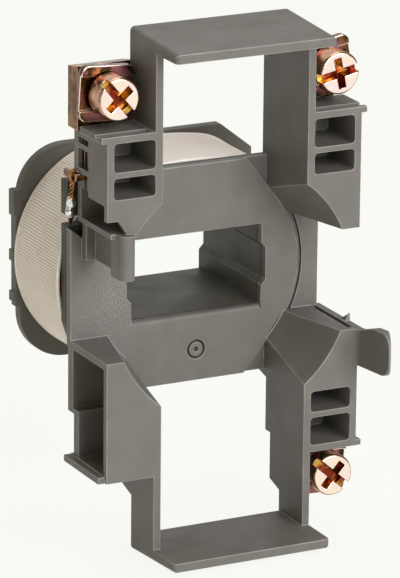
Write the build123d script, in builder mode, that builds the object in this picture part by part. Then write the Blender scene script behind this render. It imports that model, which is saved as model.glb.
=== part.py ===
from build123d import *
import os

# Contactor coil. An open moulded frame carries a wound bobbin and three screw terminals.
# Seen from the front, +X is right, +Y is back and +Z is up. The origin is the centre of the
# core window, on the front face of the frame's disc. Sizes are in millimetres.

# Core window, and the tunnel that runs back from it through the bobbin
core_width = 23.2
core_height = 13.6
notch_depth = 0.8
notch_height = 5.4
notch_lead = 0.85
tunnel_length = 22.4
tunnel_wall = 1.0
lip_radius = 0.7

# Frame: disc, wings, four arms and the plates that join them
frame_height = 86.1
window_width = 25.4
arm_wall = 1.3
arm_front = 13.3
plate_front_wall = 1.5
plate_back_wall = 2.45
plate_edge_radius = 0.75
top_plate_reach = 20.3
top_plate_back = 3.9
bottom_plate_reach = 20.5
bottom_plate_back = 5.1
base_wall = 1.5
disc_radius = 18.3
disc_flat = 18.05
shoulder_inner_x = 8.7
shoulder_outer_x = 13.9
shoulder_outer_z = 11.7
wing_half_height = 8.4
right_wing_recess = 0.7
left_wing_rise = 1.6
upper_arm_back = 2.2
upper_arm_step = 36.2
lower_arm_back = 2.7
lower_arm_waist = 1.7
lower_arm_step = 18.7
lower_arm_foot_left = 32.9
lower_arm_foot_right = 36.1
arm_chamfer = 1.0

# Corner boxes, cut on the inside by a cone that opens towards the front
cone_back_radius = 17.9
cone_front_radius = 20.95
box_wall = 1.2
box_span = 22.3
box_end = 8.4
box_top = 28.3
pocket_floor = 18.1
shelf_low = 21.5
shelf_wall = 1.0
roof_wall = 1.2
roof_overhang = 0.95
roof_back = 5.2
recess_floor = 0.4
pocket_back = 4.3
pocket_radius = 0.6
roof_groove_width = 1.5
roof_groove_depth = 0.6
roof_lip = 1.0

# Left upper box: short side wall, open below it, and a ladder that guards the terminal tail
side_wall_back = 6.3
side_wall_bottom = 17.0
front_wall_bottom = 14.6
ladder_wall = 0.7
ladder_post = 1.3
ladder_back = 1.2
ladder_rungs = (26.0, 24.2, 20.2)
ladder_rung_height = 0.8

# Left finger above the wing, with a recess in its outer side
finger_inset = 2.0
finger_width = 2.7
finger_top = 12.3
finger_bottom = 5.0
finger_reach = 14.4
finger_roundness = 0.45
finger_wall = 0.9
finger_recess = 1.7
finger_recess_back = 1.5
finger_recess_front = 7.0
finger_recess_end = 10.5

# Left lower pocket, open on its outer side
pocket_back_step = 19.3
pocket_upper_back = 0.8
pocket_lower_back = 3.0
pocket_back_wall = 1.8
pocket_lip_overhang = 1.2
pocket_lip_height = 1.1

# Pull tab at the right of the lower box
tab_wall = 1.25
tab_tip_wall = 0.35
tab_gap = 0.75
tab_height = 6.1
tab_reach = 22.2
tab_shoulder = 2.5
tab_flare = 1.3
tab_rise = 1.1
tab_neck = 1.0
tab_tip_length = 4.4
tab_corner_radius = 2.2
tab_root_radius = 1.5
tab_lug_forward = 9.2
tab_lug_length = 4.3
tab_lug_height = 1.35
tab_lug_lean = 0.9
tab_lug_wall = 0.3

# Ring mark that the ejector leaves on the disc
mark_radius = 1.15
mark_line = 0.3
mark_depth = 0.15
mark_drop = 12.8

# Bobbin
flange_wall = 2.5
flange_inset = 0.2
flange_half_height = 17.5
flange_arc_radius = 22.9
rear_flange_wall = 1.8
rear_half_height = 18.0
rear_left_span = 21.7
rear_right_span = 20.3
rear_left_radius = 8.3
rear_right_chamfer_width = 5.8
rear_right_chamfer_height = 4.6
rear_right_radius = 3.0
edge_strip_height = 0.7
edge_strip_low = -8.6
edge_strip_high = 11.1
edge_pad_height = 0.4
edge_pads = ((8.9, 4.3), (0.0, 1.9), (-6.9, 1.7))
tube_corner_radius = 1.0
lead_notch_width = 1.6
lead_notch_depth = 3.4
dowel_radius = 1.0
dowel_length = 1.0
dowel_x = 16.0
dowel_z = 5.6
dowel_clearance = 0.05

# Winding and its tape
winding_half_width = 22.2
winding_half_height = 17.2
winding_corner_x = 11.9
winding_corner_z = 16.15
winding_corner_radius = 10.0
winding_end_clearance = 0.15
tape_wall = 0.4

# Terminals
screw_height = 6.65
terminal_front = 3.2
terminal_wall = 1.0
terminal_clearance = 0.25
terminal_overhang = 0.35
terminal_seat = 1.4
terminal_height = 10.5
terminal_depth = 3.5
terminal_top_drop = 0.65
terminal_ear_inset = 0.2
terminal_boss_radius = 2.7
terminal_boss_length = 1.2
tail_arm_gap = 1.2
tail_side_clearance = 0.2
tail_clearance = 0.1
tail_lift_a1 = 0.7
tail_drop_a2 = 0.6
tag_height = 1.1
tag_overhang = 0.6
tag_wall = 0.6
tag_back = 1.4

# Screws with captive clamp washers
thread_radius = 1.75
running_clearance = 0.05
head_radius = 3.5
head_length = 3.85
head_edge_radius = 0.45
shank_length = 6.7
slot_width = 1.4
slot_depth = 1.5
cross_radius = 2.5
cross_width = 1.35
cross_depth = 2.4
washer_width = 9.2
washer_height = 8.9
washer_wall = 0.9
washer_rib = 0.5
washer_channel = 5.4
washer_corner_radius = 1.3
washer_arm_gap = 0.7
head_rib_clearance = 0.5
clamp_opening = 2.4
slot_turn_a1 = -51.0
slot_turn_a2_upper = 11.6
slot_turn_a2_lower = -41.7
washer_turn_a1 = -3.8
washer_turn_a2_upper = 11.0
washer_turn_a2_lower = -2.6

# Link strip between the two right terminals
strip_wall = 0.5
strip_width = 3.0
strip_inset = 2.7
strip_clearance = 0.1
strip_rise = 0.4

# Leads and solder
lead_radius = 0.25
lead_z = 10.9
lead_bury = 0.6
lead_turn_inset = 0.4
lead_turn_back = 0.5
lead_bend_radius = 0.8
wrap_radius = 0.62
wrap_width = 1.0
wrap_wall = 0.45
wrap_roundness = 0.6
wrap_forward = 0.5
joint_forward = 0.4
solder_radius = 0.8
solder_roundness = 0.9
solder_low = 12.2
solder_high = 15.7
solder_cone_radius = 0.7
solder_cone_height = 0.8

# Values that follow from the sizes above
half_height = frame_height / 2
window_half_height = half_height - plate_back_wall
plate_overlap = window_half_height + plate_front_wall / 2
arm_inner = window_width / 2
arm_outer = arm_inner + arm_wall
core_x = core_width / 2
core_z = core_height / 2
notch_x = core_x + notch_depth
notch_z = notch_height / 2
flange_back = base_wall + flange_wall
rear_flange_front = tunnel_length - rear_flange_wall
box_inner_span = box_span - box_wall
roof_low = box_top - roof_wall
shelf_high = shelf_low + shelf_wall
pocket_floor_low = pocket_floor - shelf_wall
roof_span = box_span + roof_overhang
wing_span = box_span
finger_span = box_span - finger_inset
flange_span = box_span - flange_inset
terminal_back = terminal_front - terminal_wall
terminal_inner = arm_outer + terminal_clearance
terminal_outer = box_span + terminal_overhang
terminal_bottom = box_top - terminal_seat
terminal_top = terminal_bottom + terminal_height
terminal_rear = terminal_depth - terminal_front
terminal_ear = arm_inner + terminal_ear_inset
screw_x = arm_outer + washer_arm_gap + washer_width / 2
screw_z = terminal_bottom + screw_height
washer_back = terminal_front + clamp_opening
head_back = washer_back + washer_wall + washer_rib + head_rib_clearance
tail_inner = arm_outer + tail_arm_gap
tail_outer = box_span - ladder_wall - tail_side_clearance
tail_end_a1 = pocket_floor + tail_lift_a1
tail_end_a2 = pocket_floor - tail_drop_a2
tag_x = box_span + tag_overhang
joint_x = tag_x - tag_wall / 2
lead_turn_x = joint_x - lead_turn_inset
strip_x = box_span - strip_inset
lead_x = strip_x
winding_front = flange_back + winding_end_clearance
winding_back = rear_flange_front - winding_end_clearance
strip_front = base_wall + strip_clearance
strip_end = flange_half_height + strip_rise + strip_wall
tab_inner = box_inner_span + tab_gap
tab_outer = tab_inner + tab_wall
tab_low = -box_end - tab_height
tab_high = tab_rise - box_end
tab_middle = (tab_low - box_end) / 2
tab_slope_start = -arm_front - tab_neck
upper, lower = 1, -1
left, right = -1, 1
terminal_corners = ((left, upper), (right, upper), (right, lower))
all_corners = terminal_corners + ((left, lower),)


def block(x_range, y_range, z_range, mode=Mode.ADD):
    """A box between two corners, whichever way round each range is given."""
    (x0, x1), (y0, y1), (z0, z1) = x_range, y_range, z_range
    with Locations(((x0 + x1) / 2, (y0 + y1) / 2, (z0 + z1) / 2)):
        Box(abs(x1 - x0), abs(y1 - y0), abs(z1 - z0), mode=mode)


def forward(distance):
    """The plane that faces the front, this far forward of the disc face."""
    return Plane.XZ.offset(distance)


def tunnel_outline():
    """The core window with its two side notches, as a sketch on the front face."""
    half = [
        (0, core_z),
        (core_x, core_z),
        (core_x, notch_z + notch_lead),
        (notch_x, notch_z),
        (notch_x, -notch_z),
        (core_x, -notch_z - notch_lead),
        (core_x, -core_z),
        (0, -core_z),
    ]
    with BuildSketch() as outline:
        with BuildLine():
            Polyline(*half, close=True)
        make_face()
        mirror(about=Plane.YZ)
    return outline.sketch


def circle_outline(radius):
    """A disc of this radius, as a sketch on the front face."""
    with BuildSketch() as outline:
        Circle(radius)
    return outline.sketch


def tube_outline():
    """The outside of the bobbin's tube, as a sketch on the front face."""
    with BuildSketch() as outline:
        RectangleRounded(2 * (notch_x + tunnel_wall), 2 * (core_z + tunnel_wall), tube_corner_radius)
    return outline.sketch


def winding_outline(grow):
    """The winding's outline, grown by a tape: round sides, and flatter arcs above and below."""
    side, top = winding_half_width + grow, winding_half_height + grow
    x, z = winding_corner_x, winding_corner_z + grow
    with BuildSketch() as outline:
        with BuildLine():
            ThreePointArc((-x, z), (0, top), (x, z))
            ThreePointArc((x, z), (side, 0), (x, -z))
            ThreePointArc((x, -z), (0, -top), (-x, -z))
            ThreePointArc((-x, -z), (-side, 0), (-x, z))
        make_face()
        fillet(outline.vertices(), radius=winding_corner_radius + grow)
    return outline.sketch


# Conical walls that close the corner boxes towards the disc
with BuildPart() as cone_walls:
    with BuildSketch(Plane.XY):
        with BuildLine():
            Polyline(
                (cone_back_radius, 0),
                (cone_back_radius + box_wall, 0),
                (cone_front_radius + box_wall, -arm_front),
                (cone_front_radius, -arm_front),
                close=True,
            )
        make_face()
    revolve(axis=Axis.Y)
    with BuildSketch(forward(0)):
        for side, level in all_corners:
            low = finger_top - finger_wall if (side, level) == (left, upper) else box_end
            with Locations((side * (arm_inner + box_inner_span) / 2, level * (low + pocket_floor) / 2)):
                Rectangle(box_inner_span - arm_inner, pocket_floor - low)
    extrude(amount=arm_front, mode=Mode.INTERSECT)


# Pull tab: an arm beside the lower right box, then a flap that flares outwards and thins
# towards its tip, and a leaning lug on the arm's upper edge
with BuildPart() as pull_tab:
    with BuildSketch(Plane.XY.offset(tab_low)):
        with BuildLine():
            Polyline(
                (tab_inner, -arm_front),
                (tab_inner + tab_flare, -tab_reach),
                (tab_inner + tab_flare + tab_tip_wall, -tab_reach),
                (tab_outer + tab_flare, tab_shoulder - tab_reach),
                (tab_outer, -arm_front),
                (tab_outer, base_wall),
                (tab_inner, base_wall),
                (tab_inner, box_wall - arm_front),
                (box_inner_span - tab_root_radius, box_wall - arm_front),
                (box_inner_span - tab_root_radius, -arm_front),
                close=True,
            )
        tab_plan = make_face()
        fillet(
            tab_plan.vertices().sort_by_distance((tab_inner, -arm_front))[0],
            radius=tab_root_radius,
        )
    extrude(amount=tab_high - tab_low)
    with BuildSketch(Plane.YZ.offset(box_inner_span - 2 * tab_root_radius)):
        with BuildLine():
            Polyline(
                (base_wall, tab_low),
                (-tab_reach, tab_low),
                (-tab_reach, tab_high),
                (tab_tip_length - tab_reach, tab_high),
                (tab_slope_start, -box_end),
                (base_wall, -box_end),
                close=True,
            )
        tab_side = make_face()
        fillet(tab_side.vertices().group_by(Axis.X)[0], radius=tab_corner_radius)
    extrude(amount=2 * tab_root_radius + tab_gap + tab_wall + tab_flare + box_wall, mode=Mode.INTERSECT)

# Lug: a slice that leans outwards, cut to a ramp that falls towards the back
with BuildPart() as tab_lug:
    with BuildSketch(forward(tab_lug_forward)):
        with BuildLine():
            Polyline(
                (tab_outer - tab_lug_lean, tab_middle),
                (tab_outer - tab_lug_lean, -box_end),
                (tab_outer - tab_lug_wall, tab_lug_height - box_end),
                (tab_outer, tab_lug_height - box_end),
                (tab_outer, tab_middle),
                close=True,
            )
        make_face()
    extrude(amount=-tab_lug_length)
    with BuildSketch(Plane.YZ.offset(tab_inner)):
        with BuildLine():
            ramp = Polyline(
                (tab_lug_length - tab_lug_forward, -box_end),
                (tab_lug_length - tab_lug_forward, tab_low),
                (-tab_lug_forward, tab_low),
                (-tab_lug_forward, tab_lug_height - box_end),
            )
            RadiusArc(ramp @ 1, ramp @ 0, -tab_lug_length)
        make_face()
    extrude(amount=tab_wall + tab_lug_lean, mode=Mode.INTERSECT)


with BuildPart() as coil_frame:
    # Plates that close the top and bottom windows, thicker towards the back
    for level, reach, back in (
        (upper, top_plate_reach, top_plate_back),
        (lower, bottom_plate_reach, bottom_plate_back),
    ):
        with BuildSketch(Plane.YZ):
            with BuildLine():
                Polyline(
                    (-back, level * window_half_height),
                    (-back, level * half_height),
                    (-reach, level * (window_half_height + plate_front_wall)),
                    (-reach, level * window_half_height),
                    close=True,
                )
            make_face()
        extrude(amount=arm_outer, both=True)
    front_corners = coil_frame.edges().filter_by(Axis.Z).filter_by(
        lambda edge: edge.center().Y < -(top_plate_reach + top_plate_back) / 2
    )
    long_edges = coil_frame.edges().filter_by(Axis.Z, reverse=True).filter_by(
        lambda edge: abs(edge.center().Z) > plate_overlap and abs(edge.center().X) > arm_inner
    )
    fillet(front_corners + long_edges, radius=plate_edge_radius)

    # Arms, drawn from the side
    for side, foot in ((left, lower_arm_foot_left), (right, lower_arm_foot_right)):
        with BuildSketch(Plane.YZ.offset(side * (arm_inner + arm_wall / 2))):
            with BuildLine():
                Polyline(
                    (-arm_front, plate_overlap),
                    (-top_plate_back, plate_overlap),
                    (-top_plate_back, upper_arm_step),
                    (upper_arm_back, upper_arm_step - arm_chamfer),
                    (upper_arm_back, disc_flat),
                    (base_wall, disc_flat),
                    (base_wall, -disc_flat),
                    (lower_arm_back, -disc_flat),
                    (lower_arm_back, -lower_arm_step),
                    (-lower_arm_waist, -lower_arm_step - arm_chamfer),
                    (-lower_arm_waist, -foot),
                    (-bottom_plate_back, -foot - arm_chamfer),
                    (-bottom_plate_back, -plate_overlap),
                    (-arm_front, -plate_overlap),
                    close=True,
                )
            make_face()
        extrude(amount=arm_wall / 2, both=True)

    # Corner boxes as blocks, before the cone and the pockets are cut
    for side, level in all_corners:
        end = finger_top - finger_wall if (side, level) == (left, upper) else box_end
        block(
            (side * arm_inner, side * box_span),
            (-arm_front, 0),
            (level * end, level * box_top),
        )

    # Cone that opens from the disc to the front of the boxes
    with BuildSketch(Plane.XY):
        with BuildLine():
            Polyline(
                (0, 0),
                (cone_back_radius, 0),
                (cone_front_radius, -arm_front),
                (0, -arm_front),
                close=True,
            )
        make_face()
    revolve(axis=Axis.Y, mode=Mode.SUBTRACT)

    for side, level in terminal_corners:
        first_upper = (side, level) == (left, upper)
        # Two pockets, open to the front
        for low, high in ((pocket_floor, shelf_low), (shelf_high, roof_low)):
            with BuildSketch(forward(arm_front)):
                with Locations((side * (arm_outer + box_inner_span) / 2, level * (low + high) / 2)):
                    RectangleRounded(box_inner_span - arm_outer, high - low, pocket_radius)
            extrude(amount=pocket_back - arm_front, mode=Mode.SUBTRACT)
        # Hollow behind the plain part of the front wall
        block(
            (side * arm_outer, side * box_inner_span),
            (box_wall - arm_front, -box_wall if first_upper else 0),
            (level * (finger_top if first_upper else box_end + box_wall), level * pocket_floor_low),
            Mode.SUBTRACT,
        )
        # Slot behind the pockets that holds the terminal's tail
        block(
            (side * arm_outer, side * (box_span - ladder_wall)),
            (-terminal_front - tail_clearance, tail_clearance - terminal_back),
            (level * pocket_floor_low, level * box_top),
            Mode.SUBTRACT,
        )
        # Recess that the terminal stands in, and a step behind the roof
        block(
            (side * arm_outer, side * box_span),
            (-terminal_front - tail_clearance, 0),
            (level * (terminal_bottom - tail_clearance), level * box_top),
            Mode.SUBTRACT,
        )
        block(
            (side * arm_outer, side * box_span),
            (-roof_back, 0),
            (level * (roof_low + recess_floor), level * box_top),
            Mode.SUBTRACT,
        )
        # Roof with an overhanging edge and a groove behind its front lip
        block(
            (side * box_inner_span, side * roof_span),
            (-arm_front, -roof_back),
            (level * (box_top - roof_lip), level * box_top),
        )
        block(
            (side * (arm_outer + roof_lip / 2), side * roof_span),
            (roof_lip - arm_front, roof_lip + roof_groove_width - arm_front),
            (level * (box_top - roof_groove_depth), level * box_top),
            Mode.SUBTRACT,
        )

    # Passages for the ends of the link strip, under the two right terminal tails
    for level in (upper, lower):
        block(
            (strip_x - strip_width / 2 - tail_clearance, strip_x + strip_width / 2 + tail_clearance),
            (-terminal_back, 0),
            (level * pocket_floor_low, level * (strip_end + tail_clearance)),
            Mode.SUBTRACT,
        )

    # Left upper box: its side wall is cut short, and open below
    block(
        (-box_span, -box_inner_span),
        (-side_wall_back, 0),
        (finger_top - finger_wall, roof_low),
        Mode.SUBTRACT,
    )
    block(
        (-box_span, -box_inner_span),
        (box_wall - arm_front, -side_wall_back),
        (finger_top - finger_wall, side_wall_bottom),
        Mode.SUBTRACT,
    )
    with BuildSketch(forward(arm_front)):
        with BuildLine():
            slope = Polyline(
                (-finger_span, front_wall_bottom),
                (-box_span, front_wall_bottom),
                (-box_span, finger_top - finger_wall),
                (-finger_span + finger_width / 2, finger_top - finger_wall),
                (-finger_span + finger_width / 2, finger_top),
            )
            RadiusArc(slope @ 0, slope @ 1, front_wall_bottom - finger_wall)
        make_face()
    extrude(amount=-box_wall, mode=Mode.SUBTRACT)

    # Ladder that guards the left terminal's tail
    block(
        (-box_span, ladder_wall - box_span),
        (-ladder_back - ladder_post, -ladder_back),
        (ladder_rungs[-1], ladder_rungs[0] + ladder_rung_height),
    )
    for rung in ladder_rungs:
        block(
            (-box_span, ladder_wall - box_span),
            (-side_wall_back - ladder_wall, -ladder_back),
            (rung, rung + ladder_rung_height),
        )

    # Left lower pocket, with its stepped back wall and the lip under it
    block(
        (-box_span, -arm_outer),
        (box_wall - arm_front, -pocket_upper_back),
        (-box_end - box_wall, -pocket_back_step),
        Mode.SUBTRACT,
    )
    block(
        (-box_span, -arm_outer),
        (box_wall - arm_front, -pocket_lower_back),
        (-pocket_back_step, -roof_low),
        Mode.SUBTRACT,
    )
    block(
        (-box_span, -arm_outer),
        (pocket_back_wall - pocket_lower_back, 0),
        (-pocket_back_step - pocket_back_wall / 2, -roof_low),
        Mode.SUBTRACT,
    )
    block(
        (-box_span, -arm_outer),
        (0, pocket_back_wall - pocket_upper_back),
        (-box_end, -pocket_back_step - pocket_back_wall / 2),
    )
    block(
        (-box_span - pocket_lip_overhang, -box_inner_span),
        (box_wall / 2 - arm_front, 0),
        (-box_top, pocket_lip_height - box_top),
    )
    add(cone_walls.part)

    # Disc with straight shoulders on the right, and its extensions between the arms
    with BuildSketch(forward(0)):
        Circle(disc_radius)
        with BuildLine():
            Polyline(
                (0, disc_flat),
                (shoulder_inner_x, disc_flat),
                (shoulder_outer_x, shoulder_outer_z),
                (shoulder_outer_x, -shoulder_outer_z),
                (shoulder_inner_x, -disc_flat),
                (0, -disc_flat),
                close=True,
            )
        make_face()
        Rectangle(2 * disc_radius, 2 * disc_flat, mode=Mode.INTERSECT)
    extrude(amount=-base_wall)
    block((-arm_outer, 0), (0, base_wall), (-disc_flat, disc_flat))
    block((0, arm_outer), (right_wing_recess, base_wall), (-disc_flat, disc_flat))
    # Wings
    with BuildSketch(forward(0)):
        with BuildLine():
            Polyline(
                (0, wing_half_height),
                (-finger_span, wing_half_height),
                (-wing_span, wing_half_height + left_wing_rise),
                (-wing_span, -wing_half_height - box_wall),
                (0, -wing_half_height - box_wall),
                close=True,
            )
        make_face()
    extrude(amount=-base_wall)
    block(
        (0, wing_span),
        (right_wing_recess, base_wall),
        (-wing_half_height - box_wall, wing_half_height + box_wall),
    )
    for level in (upper, lower):
        block(
            (arm_outer, box_inner_span),
            (0, base_wall),
            (level * box_end, level * (box_end + box_wall)),
        )

    # Left finger, with its recess open to the outside
    with BuildSketch(Plane.XY.offset(finger_bottom)):
        with Locations((-finger_span + finger_width / 2, -finger_reach / 2)):
            finger = Rectangle(finger_width, finger_reach)
        fillet(finger.vertices().group_by(Axis.Y)[0], radius=finger_width * finger_roundness)
    extrude(amount=finger_top - finger_bottom)
    with BuildSketch(Plane.XY.offset(finger_bottom)):
        with BuildLine():
            Polyline(
                (-finger_span, -finger_recess_back),
                (-finger_span + finger_recess, -finger_recess_back),
                (-finger_span + finger_recess, -finger_recess_front),
                (-finger_span, -finger_recess_end),
                close=True,
            )
        make_face()
    extrude(amount=finger_top - finger_wall - finger_bottom, mode=Mode.SUBTRACT)
    # Back wall of the open hollow under the left upper box
    block(
        (-finger_span, -arm_outer),
        (-box_wall, base_wall),
        (finger_top - finger_wall, pocket_floor_low),
    )

    # Slot between the lower right box and its pull tab
    block(
        (box_inner_span, box_span),
        (-arm_front, 0),
        (-box_end, tab_low),
        Mode.SUBTRACT,
    )
    add(pull_tab.part)
    add(tab_lug.part)

    # Core window through the disc, with a soft lower lip
    extrude(forward(0) * tunnel_outline(), amount=-base_wall, mode=Mode.SUBTRACT)
    lip = coil_frame.edges().filter_by(Axis.X).sort_by_distance((0, 0, -core_z))[0]
    fillet(lip, radius=lip_radius)

    # Ring mark on the disc, and blind holes for the bobbin's dowels
    with BuildSketch(forward(0)):
        with Locations((0, -mark_drop)):
            Circle(mark_radius)
            Circle(mark_radius - mark_line, mode=Mode.SUBTRACT)
            Circle(mark_line)
    extrude(amount=-mark_depth, mode=Mode.SUBTRACT)
    with BuildSketch(forward(-base_wall)):
        with GridLocations(2 * dowel_x, 2 * dowel_z, 2, 2):
            Circle(dowel_radius + dowel_clearance)
    extrude(amount=dowel_length + dowel_clearance, mode=Mode.SUBTRACT)


with BuildPart() as bobbin:
    # Front flange: round below, with square upper corners that carry the leads
    with BuildSketch(forward(-base_wall)):
        Circle(flange_arc_radius)
        with Locations((0, flange_half_height / 2)):
            Rectangle(2 * flange_span, flange_half_height)
        Rectangle(2 * flange_span, 2 * flange_half_height, mode=Mode.INTERSECT)
        for side in (left, right):
            with Locations((side * (flange_span - lead_notch_depth / 2), lead_z)):
                Rectangle(lead_notch_depth, lead_notch_width, mode=Mode.SUBTRACT)
    extrude(amount=-flange_wall)
    # Rear flange, rounded on the left and cut across the corners on the right
    with BuildSketch(forward(-rear_flange_front)):
        with BuildLine():
            Polyline(
                (-rear_left_span, rear_half_height),
                (rear_right_span - rear_right_chamfer_width, rear_half_height),
                (rear_right_span, rear_half_height - rear_right_chamfer_height),
                (rear_right_span, rear_right_chamfer_height - rear_half_height),
                (rear_right_span - rear_right_chamfer_width, -rear_half_height),
                (-rear_left_span, -rear_half_height),
                close=True,
            )
        rear_flange = make_face()
        fillet(rear_flange.vertices().group_by(Axis.X)[0], radius=rear_left_radius)
        fillet(rear_flange.vertices().group_by(Axis.X)[-1], radius=rear_right_radius)
    extrude(amount=-rear_flange_wall)
    # Raised strip with three pads along the rear flange's left edge
    block(
        (-rear_left_span - edge_strip_height, edge_strip_height - rear_left_span),
        (rear_flange_front, tunnel_length),
        (edge_strip_low, edge_strip_high),
    )
    for pad_centre, pad_height in edge_pads:
        block(
            (-rear_left_span - edge_strip_height - edge_pad_height, -rear_left_span),
            (rear_flange_front, tunnel_length),
            (pad_centre - pad_height / 2, pad_centre + pad_height / 2),
        )
    # Tube between the flanges, and the tunnel through it
    extrude(forward(-base_wall) * tube_outline(), amount=base_wall - tunnel_length)
    extrude(forward(-base_wall) * tunnel_outline(), amount=base_wall - tunnel_length, mode=Mode.SUBTRACT)
    # Groove for the link strip, down the front of the flange
    block(
        (strip_x - strip_width / 2 - strip_clearance, strip_x + strip_width / 2 + strip_clearance),
        (base_wall, strip_front + strip_wall),
        (-flange_half_height, flange_half_height),
        Mode.SUBTRACT,
    )
    # Dowels that enter the back of the frame
    with BuildSketch(forward(-base_wall)):
        with GridLocations(2 * dowel_x, 2 * dowel_z, 2, 2):
            Circle(dowel_radius)
    extrude(amount=dowel_length)

with BuildPart() as copper_winding:
    extrude(forward(-winding_front) * winding_outline(0), amount=winding_front - winding_back)
    extrude(
        forward(-winding_front) * tube_outline(),
        amount=winding_front - winding_back,
        mode=Mode.SUBTRACT,
    )

with BuildPart() as outer_tape:
    extrude(forward(-winding_front) * winding_outline(tape_wall), amount=winding_front - winding_back)
    extrude(
        forward(-winding_front) * winding_outline(0),
        amount=winding_front - winding_back,
        mode=Mode.SUBTRACT,
    )


def flange_outline(level, low):
    """A flange of a terminal from the side, between a lower end and the sloping top."""
    low_rear = low - terminal_top_drop if low > terminal_bottom else low
    with BuildSketch() as outline:
        with BuildLine():
            Polyline(
                (-terminal_front, level * low),
                (-terminal_front, level * terminal_top),
                (terminal_rear, level * (terminal_top - terminal_top_drop)),
                (terminal_rear, level * low_rear),
                close=True,
            )
        make_face()
    return outline.sketch


def clamp_terminal(side, level, tail_end):
    """A terminal: front plate with outer and end flanges, threaded boss and tail."""
    block(
        (side * terminal_inner, side * terminal_outer),
        (-terminal_front, -terminal_back),
        (level * terminal_bottom, level * (terminal_top - terminal_wall / 2)),
    )
    # Outer flange, lower at the back, and the end flange that slopes with it
    extrude(
        Plane.YZ.offset(side * (terminal_outer - terminal_wall / 2))
        * flange_outline(level, terminal_bottom),
        amount=terminal_wall / 2,
        both=True,
    )
    # The two upper end flanges reach inwards over the step in the arm
    flange_end = terminal_ear if level == upper else terminal_inner
    extrude(
        Plane.YZ.offset(side * (terminal_outer + flange_end) / 2)
        * flange_outline(level, terminal_top - terminal_wall),
        amount=(terminal_outer - flange_end) / 2,
        both=True,
    )
    block(
        (side * tail_inner, side * tail_outer),
        (-terminal_front, -terminal_back),
        (level * tail_end, level * terminal_bottom),
    )
    screw_axis = Pos(side * screw_x, level * screw_z)
    extrude(
        forward(terminal_back) * screw_axis * circle_outline(terminal_boss_radius),
        amount=-terminal_boss_length,
    )
    extrude(
        forward(terminal_front) * screw_axis * circle_outline(thread_radius + running_clearance),
        amount=-terminal_depth,
        mode=Mode.SUBTRACT,
    )


with BuildPart() as terminal_a1:
    clamp_terminal(left, upper, tail_end_a1)
    # Tag that leaves the tail's end sideways and turns back towards the winding
    block(
        (-tag_x, tag_wall - tail_outer),
        (-terminal_front, -terminal_back),
        (tail_end_a1, tail_end_a1 + tag_height),
    )
    block(
        (-tag_x, tag_wall - tag_x),
        (-terminal_front, tag_back),
        (tail_end_a1, tail_end_a1 + tag_height),
    )

with BuildPart() as terminal_a2_upper:
    clamp_terminal(right, upper, tail_end_a2)

with BuildPart() as terminal_a2_lower:
    clamp_terminal(right, lower, tail_end_a2)


def clamp_washer(side, level, turn):
    """A square washer with a raised rib along its upper and its lower edge."""
    back = forward(washer_back) * Pos(side * screw_x, level * screw_z) * Rot(0, 0, turn)
    with BuildSketch() as plate:
        RectangleRounded(washer_width, washer_height, washer_corner_radius)
        Circle(thread_radius + running_clearance, mode=Mode.SUBTRACT)
    with BuildSketch() as ribs:
        RectangleRounded(washer_width, washer_height, washer_corner_radius)
        Rectangle(washer_width, washer_channel, mode=Mode.SUBTRACT)
    extrude(back * plate.sketch, amount=washer_wall)
    extrude(back * Pos(0, 0, washer_wall) * ribs.sketch, amount=washer_rib)


def terminal_screw(side, level, turn):
    """A cheese-head screw with a slot across its cross recess."""
    seat = forward(head_back) * Pos(side * screw_x, level * screw_z) * Rot(0, 0, turn)
    front = seat * Pos(0, 0, head_length)
    with BuildSketch() as slot:
        Rectangle(2 * head_radius, slot_width)
    with BuildSketch() as cross:
        Rectangle(2 * cross_radius, cross_width)
        Rectangle(cross_width, 2 * cross_radius)
    extrude(seat * circle_outline(head_radius), amount=head_length)
    fillet(edges().filter_by(GeomType.CIRCLE).sort_by(Axis.Y)[0], radius=head_edge_radius)
    extrude(seat * circle_outline(thread_radius), amount=-shank_length)
    extrude(front * slot.sketch, amount=-slot_depth, mode=Mode.SUBTRACT)
    extrude(front * cross.sketch, amount=-cross_depth, mode=Mode.SUBTRACT)


with BuildPart() as washer_a1:
    clamp_washer(left, upper, washer_turn_a1)

with BuildPart() as washer_a2_upper:
    clamp_washer(right, upper, washer_turn_a2_upper)

with BuildPart() as washer_a2_lower:
    clamp_washer(right, lower, washer_turn_a2_lower)

with BuildPart() as screw_a1:
    terminal_screw(left, upper, slot_turn_a1)

with BuildPart() as screw_a2_upper:
    terminal_screw(right, upper, slot_turn_a2_upper)

with BuildPart() as screw_a2_lower:
    terminal_screw(right, lower, slot_turn_a2_lower)

with BuildPart() as a2_link_strip:
    # Flat web, then an end at each side that bends forward onto the terminal's tail
    with BuildSketch(Plane.YZ.offset(strip_x)):
        with BuildLine():
            Polyline(
                (-terminal_back, strip_end),
                (strip_front + strip_wall, strip_end),
                (strip_front + strip_wall, -strip_end),
                (-terminal_back, -strip_end),
                (-terminal_back, strip_wall - strip_end),
                (strip_front, strip_wall - strip_end),
                (strip_front, strip_end - strip_wall),
                (-terminal_back, strip_end - strip_wall),
                close=True,
            )
        make_face()
    extrude(amount=strip_width / 2, both=True)
    bends = a2_link_strip.edges().filter_by(Axis.X).filter_by(
        lambda edge: edge.center().Y > strip_front + strip_wall / 2
    )
    fillet(bends, radius=strip_wall)

with BuildPart() as start_lead:
    with BuildLine():
        lead_path = FilletPolyline(
            (-lead_x, flange_back + lead_bury, lead_z),
            (-lead_turn_x, lead_turn_back, lead_z),
            (-joint_x, -joint_forward, lead_z + 2 * lead_bend_radius),
            (-joint_x, -joint_forward, solder_high - solder_radius),
            radius=lead_bend_radius,
        )
    with BuildSketch(Plane(origin=lead_path @ 0, z_dir=lead_path % 0)):
        Circle(lead_radius)
    sweep()

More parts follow.
